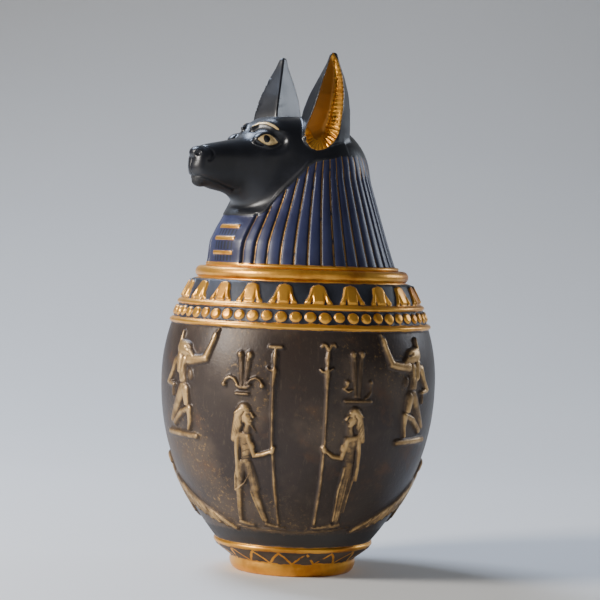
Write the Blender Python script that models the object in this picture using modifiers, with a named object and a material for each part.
"""A cast resin copy of an Egyptian canopic jar with a jackal head for a lid.

Two pieces: the hollow jar, with its foot, ribs, bead and lotus bands and the figures on its belly,
and the lid, a jackal head in a fluted headcloth on a flange with a plug that drops into the mouth.
Units are metres, +Z is up, the origin is the centre of the foot's underside and the head faces -Y.
"""
import math

import bmesh
import bpy
from mathutils import Matrix, Vector

MM = 0.001

# Turned form of the jar, heights from the underside and radii from the axis
FOOT_FLAT_RADIUS = 29.0 * MM
FOOT_FLARE = 2.0 * MM
FOOT_RING_RADIUS = FOOT_FLAT_RADIUS + FOOT_FLARE
FOOT_RING_HEIGHT = 6.2 * MM
FOOT_BAND_RADIUS = 38.6 * MM
FOOT_RIB_PROUD = 1.8 * MM
FOOT_RIB_RADIUS = FOOT_BAND_RADIUS + FOOT_RIB_PROUD
FOOT_RIB_HEIGHT = 14.5 * MM
FOOT_RIB_RISE = 2.5 * MM
FOOT_RIB_SINK = 0.4 * MM
BELLY_START_HEIGHT = FOOT_RIB_HEIGHT + FOOT_RIB_RISE
BELLY_START_RADIUS = FOOT_RIB_RADIUS - FOOT_RIB_SINK
BELLY_HEIGHT = 95.5 * MM
BELLY_RADIUS = 68.4 * MM
BELLY_POWER = 2.2
SHOULDER_POWER = 2.0
NECK_HEIGHT = 143.8 * MM
NECK_RADIUS = 54.4 * MM
UPPER_RIB_DROP = 11.0 * MM
UPPER_RIB_HEIGHT = NECK_HEIGHT - UPPER_RIB_DROP
RIB_SPACING = 9.3 * MM
LOWER_RIB_HEIGHT = UPPER_RIB_HEIGHT - RIB_SPACING
RIB_WIDTH = 2.6 * MM
RIB_PROUD = 1.5 * MM
RIM_LIFT = 3.6 * MM
RIM_SETBACK = 1.2 * MM
RIM_HEIGHT = NECK_HEIGHT + RIM_LIFT
RIM_RADIUS = NECK_RADIUS - RIM_SETBACK
RIM_ROUND = 3.0 * MM
SEAT_LIFT = 2.5 * MM
SEAT_HEIGHT = RIM_HEIGHT + SEAT_LIFT
RIM_LAND = 9.7 * MM
MOUTH_RADIUS = RIM_RADIUS - RIM_LAND
MOUTH_DEPTH = 9.0 * MM
WALL = 4.5 * MM
FLOOR = 7.0 * MM
TURNED_STEPS = 28
BELLY_BAYS = 6
SHOULDER_BAYS = 3
INSIDE_BAYS = 4

# Bands of ornament
LOTUS_COUNT = 22
LOTUS_WIDTH = 14.4 * MM
LOTUS_GAP = 1.4 * MM
LOTUS_FOOT_HEIGHT = UPPER_RIB_HEIGHT + LOTUS_GAP
LOTUS_TALL = NECK_HEIGHT - LOTUS_FOOT_HEIGHT
LOTUS_PROUD = 1.2 * MM
BEAD_COUNT = 52
BEAD_HEIGHT = (LOWER_RIB_HEIGHT + UPPER_RIB_HEIGHT) / 2
BEAD_WIDE = 5.8 * MM
BEAD_GAP = 1.5 * MM
BEAD_TALL = RIB_SPACING - BEAD_GAP * 2
BEAD_PROUD = 1.3 * MM
SINK = 1.4 * MM

# Figures on the belly
PANEL_TURN = math.radians(-33.0)
GROUND_RISE = 9.0 * MM
GROUND_HEIGHT = BELLY_START_HEIGHT + GROUND_RISE
PANEL_TALL = LOWER_RIB_HEIGHT - GROUND_HEIGHT
FIGURE_TALL = PANEL_TALL * 0.636
STAFF_TALL = PANEL_TALL * 0.903
KNEELER_TALL = PANEL_TALL * 0.451
PLINTH_HEIGHT = GROUND_HEIGHT + PANEL_TALL * 0.451
BIRD_HEIGHT = GROUND_HEIGHT + PANEL_TALL * 0.123
BIRD_SPAN = PANEL_TALL * 0.338
FIGURE_PROUD = 1.7 * MM
THIN_PROUD = 1.2 * MM
FIGURE_OFFSET = 24.5 * MM
PARTNER_OFFSET = 27.0 * MM
STAFF_HALF = 0.8 * MM
STAFF_OFFSET = 11.5 * MM
KNEELER_OFFSET = 62.0 * MM
LIMB_BAY = 18.0 * MM
TOP_SHARE = 0.62

# Lid: flange, plug and headcloth
LID_GAP = 0.3 * MM
PLUG_GAP = 0.8 * MM
PLUG_LONG = 8.0 * MM
PLUG_LEAD = 1.0 * MM
FLANGE_SETBACK = 5.0 * MM
FLANGE_RADIUS = RIM_RADIUS - FLANGE_SETBACK
FLANGE_THICK = 1.9 * MM
CLOTH_BASE = SEAT_HEIGHT + LID_GAP + FLANGE_THICK
CLOTH_TALL = 53.9 * MM
CLOTH_SIDE_FLUTES = 20
CLOTH_FIRST_FLUTE = math.radians(18.8)
CLOTH_FLUTE_DEEP = 0.9 * MM
CLOTH_LEVELS = 4
CLOTH_LEAN = 0.25
CLOTH_BACK_LEAN = 0.10
CLOTH_SETBACK = 1.7 * MM
CLOTH_BASE_RADIUS = FLANGE_RADIUS - CLOTH_SETBACK
CLOTH_TOP_RADIUS = 29.4 * MM
CHEST_BULGE = 3.2 * MM
BAR_RISES = (5.0 * MM, 12.1 * MM, 17.9 * MM)
BAR_HALF_ANGLE = math.radians(10.0)
BAR_THICK = 1.6 * MM
BAR_PROUD = 0.6 * MM

# Head: lengths are distances sideways, forward of the axis and up from the headcloth's lower edge,
# and plain shares are parts of the nose's reach sideways, forward of the axis and up from the nose
SKULL_RISE = 43.9 * MM
SKULL_HALF = (31.4 * MM, 32.4 * MM, 29.3 * MM)
NOSE_REACH = 67.2 * MM
NOSE_RISE = 51.3 * MM
NOSE_HALF = (4.8 * MM, 3.4 * MM, 3.6 * MM)
EYE_HALF = (4.2 * MM, 5.2 * MM, 2.8 * MM)
EYE_SPOT = (0.241, 0.484, 0.131)
BROW_HALF = (1.6 * MM, 2.4 * MM, 1.4 * MM)
BROW_INNER = (0.082, 0.545, 0.180)
BROW_PEAK = (0.195, 0.490, 0.246)
BROW_OUTER = (0.288, 0.372, 0.185)
EAR_TIP = (22.4 * MM, 0.3 * MM, 104.4 * MM)
EAR_FRONT = (25.7 * MM, 17.5 * MM, 64.9 * MM)
EAR_REAR = (30.6 * MM, -1.6 * MM, 64.9 * MM)
EAR_RIDGE = (9.5 * MM, 11.0 * MM, 64.9 * MM)
EAR_BACK = (22.0 * MM, -11.0 * MM, 64.9 * MM)
EAR_LOBE = (26.4 * MM, 9.0 * MM, 53.9 * MM)
EAR_HOLLOW = 6.0 * MM
EAR_BOW = 2.2 * MM


def remove_everything():
    """Clear the scene's objects so the script can be run again."""
    for thing in list(bpy.data.objects):
        bpy.data.objects.remove(thing, do_unlink=True)


def collection(name):
    """Return the named collection, linked to the scene."""
    found = bpy.data.collections.get(name)
    if found is None:
        found = bpy.data.collections.new(name)
        bpy.context.scene.collection.children.link(found)
    return found


def material(name, colour, roughness, metallic):
    """Make a Principled material."""
    made = bpy.data.materials.new(name)
    made.use_nodes = True
    shader = made.node_tree.nodes["Principled BSDF"]
    shader.inputs["Base Color"].default_value = (*colour, 1.0)
    shader.inputs["Roughness"].default_value = roughness
    shader.inputs["Metallic"].default_value = metallic
    return made


def add_mesh_object(name, mesh, home):
    """Link a mesh as a new object in the collection."""
    made = bpy.data.objects.new(name, mesh)
    home.objects.link(made)
    return made


def finish_bmesh(name, shapes, home):
    """Turn a bmesh with outward faces into an object."""
    bmesh.ops.recalc_face_normals(shapes, faces=shapes.faces)
    mesh = bpy.data.meshes.new(name)
    shapes.to_mesh(mesh)
    shapes.free()
    return add_mesh_object(name, mesh, home)


def as_guide(thing):
    """Mark an object that only joins or cuts another one."""
    thing.hide_render = True
    thing.display_type = "WIRE"
    return thing


def join_with(target, guide):
    """Join the target with a guide."""
    boolean = target.modifiers.new(guide.name, "BOOLEAN")
    boolean.operation = "UNION"
    boolean.solver = "EXACT"
    boolean.use_self = True
    boolean.object = as_guide(guide)


def turned(name, profile, home):
    """Turn a profile of (radius, height) points, outer side from top to bottom, about the Z axis."""
    mesh = bpy.data.meshes.new(name)
    points = [(radius, 0.0, height) for radius, height in profile]
    edges = [(i, i + 1) for i in range(len(points) - 1)]
    mesh.from_pydata(points, edges, [])
    made = add_mesh_object(name, mesh, home)
    screw = made.modifiers.new("turned", "SCREW")
    screw.axis = "Z"
    screw.angle = math.tau
    screw.steps = TURNED_STEPS
    screw.render_steps = TURNED_STEPS
    screw.use_merge_vertices = True
    screw.merge_threshold = 0.0001
    return made


def mix(first, second, share):
    """Return the value between two others."""
    return first + (second - first) * share


def body_radius(height):
    """Radius of the plain jar between the foot rib and the neck."""
    if height <= BELLY_HEIGHT:
        share = max(0.0, (height - BELLY_START_HEIGHT) / (BELLY_HEIGHT - BELLY_START_HEIGHT))
        return mix(BELLY_START_RADIUS, BELLY_RADIUS, 1.0 - (1.0 - share) ** BELLY_POWER)
    share = (height - BELLY_HEIGHT) / (NECK_HEIGHT - BELLY_HEIGHT)
    return mix(BELLY_RADIUS, NECK_RADIUS, share ** SHOULDER_POWER)


def rib_points(height):
    """Three points of a rib standing proud of the body, from top to bottom."""
    half = RIB_WIDTH / 2
    return [
        (body_radius(height + half), height + half),
        (body_radius(height) + RIB_PROUD, height),
        (body_radius(height - half), height - half),
    ]


def rim_points():
    """The round rim, from its inner top edge outwards and down to the neck."""
    centre = RIM_RADIUS - RIM_ROUND
    points = []
    for degrees in (110, 65, 25, -15, -55):
        angle = math.radians(degrees)
        points.append((centre + RIM_ROUND * math.cos(angle), RIM_HEIGHT + RIM_ROUND * math.sin(angle)))
    return points


def inside_radius(height):
    """Radius of the hollow, one wall in from the body."""
    return body_radius(height) - WALL


def jar_profile():
    """The whole jar's section, from the floor inside, up and over the rim, and down to the underside."""
    low = BELLY_START_HEIGHT + FLOOR / 2
    high = NECK_HEIGHT - WALL
    inside = [(0.0, FLOOR), (FOOT_BAND_RADIUS - WALL - FLOOR / 2, FLOOR)]
    for i in range(INSIDE_BAYS + 1):
        height = mix(low, high, i / INSIDE_BAYS)
        inside.append((inside_radius(height), height))
    mouth = [(MOUTH_RADIUS, SEAT_HEIGHT - MOUTH_DEPTH), (MOUTH_RADIUS, SEAT_HEIGHT)]
    seat = [(RIM_RADIUS - RIM_ROUND * 1.45, SEAT_HEIGHT)]
    outside = [(NECK_RADIUS, NECK_HEIGHT)]
    outside += rib_points(UPPER_RIB_HEIGHT)
    outside += rib_points(LOWER_RIB_HEIGHT)
    for i in range(1, SHOULDER_BAYS):
        height = mix(LOWER_RIB_HEIGHT, BELLY_HEIGHT, i / SHOULDER_BAYS)
        outside.append((body_radius(height), height))
    for i in range(BELLY_BAYS):
        height = mix(BELLY_HEIGHT, BELLY_START_HEIGHT, (i / BELLY_BAYS) ** 0.8)
        outside.append((body_radius(height), height))
    foot = [
        (BELLY_START_RADIUS, BELLY_START_HEIGHT),
        (FOOT_RIB_RADIUS, FOOT_RIB_HEIGHT + RIB_WIDTH / 4),
        (FOOT_RIB_RADIUS, FOOT_RIB_HEIGHT - RIB_WIDTH / 4),
        (FOOT_BAND_RADIUS, FOOT_RIB_HEIGHT - RIB_WIDTH * 0.7),
        (FOOT_RING_RADIUS - RIB_PROUD / 3, FOOT_RING_HEIGHT),
        (FOOT_RING_RADIUS, FOOT_RING_HEIGHT * 0.6),
        (FOOT_FLAT_RADIUS, 0.0),
        (0.0, 0.0),
    ]
    return inside + mouth + seat + rim_points() + outside + foot


def wrap(turn, across, height, proud):
    """Place a point on the jar: distance round it from a turn, height, and distance out of the body."""
    radius = body_radius(height)
    angle = turn + across / radius
    return Vector(((radius + proud) * math.cos(angle), (radius + proud) * math.sin(angle), height))


def pour(piece, shapes):
    """Move one small closed body into the mesh that collects them."""
    mesh = bpy.data.meshes.new("piece")
    bmesh.ops.recalc_face_normals(piece, faces=piece.faces)
    piece.to_mesh(mesh)
    piece.free()
    shapes.from_mesh(mesh)
    bpy.data.meshes.remove(mesh)


def add_bar(shapes, place, start, end, half_start, half_end, proud, top_share=TOP_SHARE):
    """Add a tapered bar from start to end, laid on a surface by place(across, height, proud)."""
    piece = bmesh.new()
    bmesh.ops.create_cube(piece, size=1.0)
    cuts = max(0, math.ceil(math.dist(start, end) / LIMB_BAY) - 1)
    if cuts:
        along = [edge for edge in piece.edges if abs(edge.verts[0].co.x - edge.verts[1].co.x) > 0.5]
        bmesh.ops.subdivide_edges(piece, edges=along, cuts=cuts, use_grid_fill=True)
    run = Vector((end[0] - start[0], end[1] - start[1])).normalized()
    for vert in piece.verts:
        share = vert.co.x + 0.5
        on_top = vert.co.z > 0
        half = mix(half_start, half_end, share) * (top_share if on_top else 1.0)
        sideways = 2.0 * vert.co.y * half
        reach = (share * 2.0 - 1.0) * mix(half_start, half_end, share) * (0.2 if on_top else 0.5)
        across = mix(start[0], end[0], share) + run.x * reach - run.y * sideways
        height = mix(start[1], end[1], share) + run.y * reach + run.x * sideways
        vert.co = place(across, height, proud if on_top else -SINK)
    bmesh.ops.remove_doubles(piece, verts=piece.verts, dist=0.00001)
    pour(piece, shapes)


def add_disc(shapes, place, centre, half_wide, half_tall, proud, top_share=TOP_SHARE):
    """Add a low disc, or a pointed bead, laid on a surface by place(across, height, proud)."""
    piece = bmesh.new()
    bmesh.ops.create_cone(
        piece, cap_ends=True, segments=6, radius1=1.0, radius2=top_share, depth=1.0)
    for vert in piece.verts:
        across = centre[0] + vert.co.x * half_wide
        height = centre[1] + vert.co.y * half_tall
        vert.co = place(across, height, proud if vert.co.z > 0 else -SINK)
    pour(piece, shapes)


class Relief:
    """A figure drawn in shares of its own height, laid on the jar."""

    def __init__(self, shapes, turn, offset, ground, tall, facing):
        """Keep where the figure stands and which way it faces, +1 or -1."""
        self.shapes = shapes
        self.turn = turn
        self.offset = offset
        self.ground = ground
        self.tall = tall
        self.facing = facing

    def place(self, across, height, proud):
        """Place a point of the figure on the belly."""
        return wrap(self.turn, across, height, proud)

    def spot(self, forward, up):
        """Turn shares of the figure's height into distance round the jar and height."""
        return (self.offset + self.facing * forward * self.tall, self.ground + up * self.tall)

    def limb(self, start, end, half_start, half_end):
        """Add a limb between two joints."""
        add_bar(self.shapes, self.place, self.spot(*start), self.spot(*end),
                half_start * self.tall, half_end * self.tall, FIGURE_PROUD)

    def ridge(self, start, end, half_start, half_end):
        """Add a thin ridge between two joints."""
        add_bar(self.shapes, self.place, self.spot(*start), self.spot(*end),
                half_start * self.tall, half_end * self.tall, THIN_PROUD, 0.0)

    def disc(self, centre, half_wide, half_tall):
        """Add a disc such as a head or a ball."""
        add_disc(self.shapes, self.place, self.spot(*centre),
                 half_wide * self.tall, half_tall * self.tall, FIGURE_PROUD)


def add_stander(shapes, turn, offset, facing, stride, plain):
    """Add a standing figure with one arm hanging, one hand on a staff and a plumed crown if not plain."""
    body = Relief(shapes, turn, offset, GROUND_HEIGHT, FIGURE_TALL, facing)
    body.disc((0.00, 0.93), 0.062, 0.062)
    body.limb((-0.05, 0.93), (-0.06, 0.77), 0.042, 0.035)
    body.limb((-0.01, 0.80), (0.0, 0.53), 0.095, 0.055)
    body.limb((0.0, 0.53), (0.01, 0.31), 0.055, 0.075)
    body.ridge((-0.02, 0.33), (-0.03, 0.02), 0.046, 0.030)
    body.ridge((0.04, 0.33), (stride, 0.02), 0.046, 0.030)
    body.ridge((-0.04, 0.02), (0.10, 0.02), 0.026, 0.018)
    body.ridge((stride, 0.02), (stride + 0.14, 0.02), 0.026, 0.018)
    body.ridge((0.05, 0.75), (0.10, 0.59), 0.034, 0.026)
    body.ridge((0.10, 0.60), (0.22, 0.64), 0.028, 0.022)
    if plain:
        return
    body.ridge((-0.08, 0.76), (-0.08, 0.42), 0.032, 0.022)
    body.limb((-0.08, 1.05), (0.06, 1.05), 0.020, 0.020)
    body.ridge((0.05, 0.86), (0.09, 0.78), 0.024, 0.016)
    for side in (-1, 1):
        body.ridge((0.03 * side - 0.01, 1.05), (0.04 * side - 0.02, 1.40), 0.018, 0.024)
        body.ridge((0.03 * side, 1.07), (0.10 * side, 1.18), 0.018, 0.022)
        body.ridge((0.09 * side, 1.18), (0.19 * side, 1.13), 0.022, 0.014)


def add_staff(shapes, turn, offset, facing, plain):
    """Add the tall thin staff, leaning a little, with its bud and its forked top."""
    def place(across, height, proud):
        return wrap(turn, across, height, proud)

    low = (offset - facing * STAFF_TALL * 0.045, GROUND_HEIGHT + STAFF_HALF)
    high = (offset, GROUND_HEIGHT + STAFF_TALL)
    neck = (mix(low[0], high[0], 0.9), mix(low[1], high[1], 0.9))
    bud = (neck[0], neck[1] + STAFF_HALF * 4.0)
    add_bar(shapes, place, low, high, STAFF_HALF, STAFF_HALF, THIN_PROUD, 0.0)
    if plain:
        return
    add_bar(shapes, place, neck, bud, STAFF_HALF * 1.6, STAFF_HALF * 2.4, THIN_PROUD)
    for side in (-1, 1):
        tip = (high[0] + side * STAFF_HALF * 4.5, high[1] + STAFF_HALF * 2.0)
        add_bar(shapes, place, high, tip, STAFF_HALF, STAFF_HALF, THIN_PROUD, 0.0)


def add_kneeler(shapes, turn, offset, facing):
    """Add a kneeling figure with a raised arm on a small plinth."""
    body = Relief(shapes, turn, offset, PLINTH_HEIGHT, KNEELER_TALL, facing)
    body.limb((-0.34, -0.02), (0.20, -0.02), 0.035, 0.035)
    body.disc((0.00, 0.92), 0.095, 0.085)
    body.ridge((0.06, 0.88), (0.14, 0.85), 0.036, 0.020)
    body.limb((-0.03, 0.85), (-0.01, 0.53), 0.120, 0.085)
    body.limb((-0.01, 0.53), (-0.03, 0.26), 0.090, 0.120)
    body.limb((-0.02, 0.26), (0.10, 0.20), 0.080, 0.060)
    body.ridge((0.09, 0.24), (0.08, 0.02), 0.060, 0.045)
    body.ridge((-0.06, 0.24), (-0.28, 0.05), 0.080, 0.050)
    body.ridge((0.04, 0.80), (0.32, 0.83), 0.055, 0.044)
    body.ridge((0.31, 0.83), (0.43, 1.09), 0.044, 0.032)
    body.ridge((0.43, 1.08), (0.49, 1.17), 0.024, 0.014)
    body.ridge((-0.10, 0.80), (-0.33, 0.53), 0.050, 0.036)


def add_bird(shapes, turn):
    """Add a bird low on the side with both wings spread down to the ground line."""
    bird = Relief(shapes, turn, 0.0, BIRD_HEIGHT, BIRD_SPAN, 1)
    bird.disc((0.0, 0.10), 0.22, 0.30)
    bird.disc((0.0, 0.48), 0.12, 0.13)
    for side in (-1, 1):
        bird.limb((0.12 * side, 0.16), (0.74 * side, 0.14), 0.15, 0.17)
        bird.limb((0.72 * side, 0.12), (1.28 * side, -0.22), 0.16, 0.07)
        bird.ridge((0.30 * side, -0.08), (0.95 * side, -0.26), 0.11, 0.05)


def add_panel(shapes, turn, plain):
    """Add the pair that face each other and their ground line, and kneelers beyond them if not plain."""
    def place(across, height, proud):
        return wrap(turn, across, height, proud)

    add_stander(shapes, turn, -FIGURE_OFFSET, 1, 0.20, plain)
    add_stander(shapes, turn, PARTNER_OFFSET, -1, 0.14, plain)
    add_staff(shapes, turn, -STAFF_OFFSET, -1, plain)
    add_staff(shapes, turn, STAFF_OFFSET + STAFF_HALF * 2, 1, plain)
    reach = FIGURE_OFFSET * 1.25
    line = GROUND_HEIGHT - STAFF_HALF * 1.5
    add_bar(shapes, place, (-reach, line), (reach, line), STAFF_HALF, STAFF_HALF, THIN_PROUD, 0.0)
    if not plain:
        add_kneeler(shapes, turn, -KNEELER_OFFSET, 1)
        add_kneeler(shapes, turn, KNEELER_OFFSET, -1)


def lotus_mesh():
    """A hanging lotus as a flat filled outline: a domed top that flares to three points."""
    half = LOTUS_WIDTH / 2
    tall = LOTUS_TALL
    right = [
        (half * 0.32, tall),
        (half * 0.48, tall * 0.50),
        (half, tall * 0.02),
        (half * 0.40, tall * 0.26),
    ]
    left = [(-across, height) for across, height in reversed(right)]
    outline = right + [(0.0, 0.0)] + left
    curve = bpy.data.curves.new("lotus_outline", "CURVE")
    curve.dimensions = "2D"
    curve.fill_mode = "BOTH"
    curve.extrude = 0.5
    spline = curve.splines.new("POLY")
    spline.points.add(len(outline) - 1)
    for point, (across, height) in zip(spline.points, outline):
        point.co = (across, height, 0.0, 1.0)
    spline.use_cyclic_u = True
    holder = bpy.data.objects.new("lotus_outline", curve)
    bpy.context.scene.collection.objects.link(holder)
    graph = bpy.context.evaluated_depsgraph_get()
    mesh = bpy.data.meshes.new_from_object(holder.evaluated_get(graph))
    bpy.data.objects.remove(holder, do_unlink=True)
    return mesh


def add_lotus_band(shapes):
    """Lay the lotus flowers round the neck."""
    flower = lotus_mesh()
    for i in range(LOTUS_COUNT):
        turn = PANEL_TURN + math.tau * (i + 0.5) / LOTUS_COUNT
        piece = bmesh.new()
        piece.from_mesh(flower)
        for vert in piece.verts:
            proud = LOTUS_PROUD if vert.co.z > 0 else -SINK
            vert.co = wrap(turn, vert.co.x, LOTUS_FOOT_HEIGHT + vert.co.y, proud)
        bmesh.ops.remove_doubles(piece, verts=piece.verts, dist=0.00001)
        pour(piece, shapes)
    bpy.data.meshes.remove(flower)


def add_bead_band(shapes):
    """Lay the beads round the shoulder between the two ribs."""
    for i in range(BEAD_COUNT):
        turn = PANEL_TURN + math.tau * (i + 0.3) / BEAD_COUNT

        def place(across, height, proud, turn=turn):
            return wrap(turn, across, height, proud)

        add_disc(shapes, place, (0.0, BEAD_HEIGHT), BEAD_WIDE / 2, BEAD_TALL / 2, BEAD_PROUD, 0.0)


def make_jar(home, guides):
    """Make the hollow jar with all that is carved on it."""
    jar = turned("jar", jar_profile(), home)
    bands = bmesh.new()
    add_bead_band(bands)
    add_lotus_band(bands)
    join_with(jar, finish_bmesh("bands", bands, guides))
    figures = bmesh.new()
    for half_turn in range(2):
        turn = PANEL_TURN + math.pi * half_turn
        add_panel(figures, turn, half_turn == 1)
        add_bird(figures, turn + math.pi / 2)
    join_with(jar, finish_bmesh("figures", figures, guides))
    jar.data.materials.append(material("bronze_patina", (0.10, 0.075, 0.055), 0.5, 0.4))
    return jar


def loft(shapes, rings):
    """Skin a list of rings of points, all the same length, and cap both ends."""
    rows = [[shapes.verts.new(point) for point in ring] for ring in rings]
    count = len(rows[0])
    for low, high in zip(rows, rows[1:]):
        for i in range(count):
            after = (i + 1) % count
            shapes.faces.new((low[i], low[after], high[after], high[i]))
    shapes.faces.new(list(reversed(rows[0])))
    shapes.faces.new(rows[-1])


def cloth_radius(angle, height):
    """Radius of the headcloth at an angle from the front: a cone with a fuller chest in front."""
    share = (height - CLOTH_BASE) / CLOTH_TALL
    cone = mix(CLOTH_BASE_RADIUS, CLOTH_TOP_RADIUS, share ** 0.93)
    chest = CHEST_BULGE * math.sin(math.pi * min(1.0, share * 1.55)) * max(0.0, math.cos(angle)) ** 1.5
    return cone + chest


def flute_angle(base_angle, height):
    """Angle of a flute at a height: the flutes lean towards the ears as they rise."""
    share = (height - CLOTH_BASE) / CLOTH_TALL
    side = math.copysign(1.0, base_angle)
    size = abs(base_angle)
    lean = CLOTH_LEAN if size < math.pi / 2 else CLOTH_BACK_LEAN
    return side * (size + lean * (math.pi / 2 - size) * share ** 2)


def head_point(sideways, forward, rise):
    """A point of the head from its own directions: to its left, forward, and up from the headcloth."""
    return Vector((sideways, -forward, CLOTH_BASE + rise))


def face_point(sideways, forward, up):
    """A point of the face in shares of the nose's reach: to its left, forward, and up from the nose."""
    return head_point(sideways * NOSE_REACH, forward * NOSE_REACH, NOSE_RISE + up * NOSE_REACH)


def cloth_point(across, rise, proud):
    """A point on the headcloth: distance round it from the front, height, and distance out of it."""
    angle = across / CLOTH_BASE_RADIUS
    radius = cloth_radius(angle, CLOTH_BASE + rise) + proud
    return head_point(radius * math.sin(angle), radius * math.cos(angle), rise)


def cloth_columns():
    """Angles round the base with the depth of each: grooves between rounded strips."""
    pitch = (math.pi - CLOTH_FIRST_FLUTE) / (CLOTH_SIDE_FLUTES - 0.5)
    right = []
    for i in range(CLOTH_SIDE_FLUTES):
        groove = CLOTH_FIRST_FLUTE + pitch * i
        right.append((groove, -CLOTH_FLUTE_DEEP))
        right.append((groove + pitch / 2, 0.0))
    front = [(CLOTH_FIRST_FLUTE * share, 0.0) for share in (-0.6, 0.0, 0.6)]
    left = [(-angle, depth) for angle, depth in reversed(right[:-1])]
    return left + front + right


def add_cloth(shapes):
    """Skin the fluted headcloth from the flange up to the skull."""
    columns = cloth_columns()
    rings = []
    for level in range(CLOTH_LEVELS + 1):
        share = level / CLOTH_LEVELS
        rise = mix(-FLANGE_THICK / 2, CLOTH_TALL, share)
        height = CLOTH_BASE + max(0.0, rise)
        ring = []
        for base_angle, depth in columns:
            angle = flute_angle(base_angle, height)
            radius = cloth_radius(angle, height) + depth * (1.0 - share ** 4)
            ring.append(head_point(radius * math.sin(angle), radius * math.cos(angle), rise))
        rings.append(ring)
    loft(shapes, rings)


def face_sections():
    """Sections of the muzzle and face: forward, top, bottom, half width and squareness.

    Lengths are shares of the nose's reach, and the tops and bottoms are measured from the nose.
    """
    return [
        (0.988, -0.006, -0.132, 0.054, 2.2),
        (0.967, 0.039, -0.176, 0.089, 2.4),
        (0.893, 0.067, -0.216, 0.116, 2.5),
        (0.789, 0.092, -0.244, 0.140, 2.5),
        (0.685, 0.122, -0.289, 0.167, 2.5),
        (0.618, 0.149, -0.385, 0.196, 2.6),
        (0.565, 0.190, -0.452, 0.223, 2.9),
        (0.499, 0.274, -0.497, 0.259, 3.3),
        (0.372, 0.313, -0.527, 0.313, 3.2),
        (0.179, 0.327, -0.527, 0.379, 2.8),
        (-0.060, 0.307, -0.467, 0.402, 2.4),
    ]


def add_face(shapes, points_round=12):
    """Skin the muzzle, jaw and brow through their sections, each a rounded box."""
    rings = []
    for forward, top, bottom, half, squareness in face_sections():
        middle = mix(bottom, top, 0.52)
        ring = []
        for i in range(points_round):
            angle = math.tau * (i + 0.5) / points_round
            across = math.copysign(abs(math.cos(angle)) ** (2.0 / squareness), math.cos(angle))
            upward = math.copysign(abs(math.sin(angle)) ** (2.0 / squareness), math.sin(angle))
            reach = (top - middle) if upward > 0 else (middle - bottom)
            ring.append(face_point(half * across, forward, middle + reach * upward))
        rings.append(ring)
    loft(shapes, rings)


def add_ball(shapes, centre, halves, around=8, rings=6):
    """Add an ellipsoid."""
    spread = Matrix.Translation(centre) @ Matrix.Diagonal((*halves, 1.0))
    bmesh.ops.create_uvsphere(shapes, u_segments=around, v_segments=rings, radius=1.0, matrix=spread)


def add_rod(shapes, start, end, half_start, half_end, sides=4):
    """Add a tapered rod between two points in space."""
    run = end - start
    turn = run.to_track_quat("Z", "Y").to_matrix().to_4x4()
    spot = Matrix.Translation((start + end) / 2) @ turn
    bmesh.ops.create_cone(shapes, cap_ends=True, segments=sides, radius1=half_start, radius2=half_end,
                          depth=run.length * 1.15, matrix=spot)


def ear_rings(side):
    """Sections of one ear: a leaning pyramid whose outer face is hollowed."""
    tip, front_rim, rear_rim = Vector(EAR_TIP), Vector(EAR_FRONT), Vector(EAR_REAR)
    ridge, back, lobe = Vector(EAR_RIDGE), Vector(EAR_BACK), Vector(EAR_LOBE)
    rings = []
    for share in (0.0, 0.10, 0.22, 0.45, 0.75, 0.995):
        height = mix(lobe.z, tip.z, share)
        rise = (height - front_rim.z) / (tip.z - front_rim.z)
        if rise < 0:
            fall = (height - lobe.z) / (front_rim.z - lobe.z)
            front = lobe.lerp(front_rim, math.sqrt(fall))
            rear = lobe.lerp(rear_rim, math.sqrt(fall))
            corners = [ridge.copy(), front, rear, back.copy()]
        else:
            bow = EAR_BOW * math.sin(math.pi * rise)
            corners = [ridge.lerp(tip, rise), front_rim.lerp(tip, rise), rear_rim.lerp(tip, rise),
                       back.lerp(tip, rise)]
            corners[2].y -= bow
            corners[3].y -= bow
        hollow = EAR_HOLLOW * min(1.0, share * 5.0) * (1.0 - max(0.0, rise))
        middle = (corners[1] + corners[2]) / 2 - Vector((hollow, 0.0, 0.0))
        ring = [corners[0], corners[1], middle, corners[2], corners[3]]
        rings.append([head_point(side * spot.x, spot.y, height) for spot in ring])
    return rings


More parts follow.
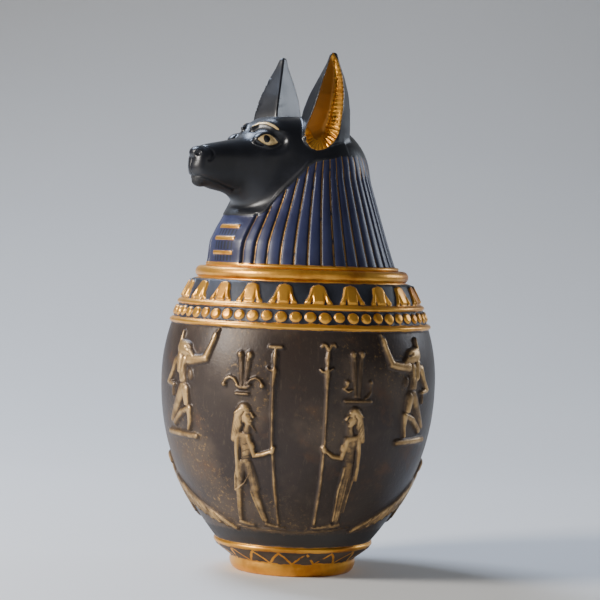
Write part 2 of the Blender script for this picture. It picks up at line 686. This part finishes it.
def add_features(shapes):
    """Add the eyes, the brows, the nose and the bars of the collar."""
    add_ball(shapes, head_point(0.0, NOSE_REACH - NOSE_HALF[1], NOSE_RISE), NOSE_HALF)
    for side in (-1, 1):
        eye, inner, peak, outer = [
            face_point(side * spot[0], spot[1], spot[2])
            for spot in (EYE_SPOT, BROW_INNER, BROW_PEAK, BROW_OUTER)]
        add_ball(shapes, eye, EYE_HALF)
        add_rod(shapes, inner, peak, BROW_HALF[0], BROW_HALF[1])
        add_rod(shapes, peak, outer, BROW_HALF[1], BROW_HALF[2])
    reach = BAR_HALF_ANGLE * CLOTH_BASE_RADIUS
    half = BAR_THICK / 2
    for rise in BAR_RISES:
        add_bar(shapes, cloth_point, (-reach, rise), (reach, rise), half, half, BAR_PROUD)


def make_lid(home, guides):
    """Make the jackal-headed lid with its flange and plug."""
    under = SEAT_HEIGHT + LID_GAP
    plug = MOUTH_RADIUS - PLUG_GAP
    profile = [
        (0.0, under + FLANGE_THICK),
        (FLANGE_RADIUS - FLANGE_THICK * 0.3, under + FLANGE_THICK),
        (FLANGE_RADIUS, under + FLANGE_THICK / 2),
        (FLANGE_RADIUS - FLANGE_THICK * 0.3, under),
        (plug, under),
        (plug, under - PLUG_LONG + PLUG_LEAD),
        (plug - PLUG_LEAD, under - PLUG_LONG),
        (0.0, under - PLUG_LONG),
    ]
    lid = turned("lid", profile, home)
    cloth = bmesh.new()
    add_cloth(cloth)
    join_with(lid, finish_bmesh("cloth", cloth, guides))
    head = bmesh.new()
    add_ball(head, head_point(0.0, 0.0, SKULL_RISE), SKULL_HALF, 18, 10)
    add_face(head)
    join_with(lid, finish_bmesh("head", head, guides))
    ears = bmesh.new()
    for side in (-1, 1):
        loft(ears, ear_rings(side))
    join_with(lid, finish_bmesh("ears", ears, guides))
    features = bmesh.new()
    add_features(features)
    join_with(lid, finish_bmesh("features", features, guides))
    lid.data.materials.append(material("painted_black", (0.02, 0.022, 0.035), 0.35, 0.0))
    return lid


def main():
    """Build both pieces."""
    remove_everything()
    home = collection("canopic_jar")
    guides = collection("guides")
    make_jar(home, guides)
    make_lid(home, guides)


main()
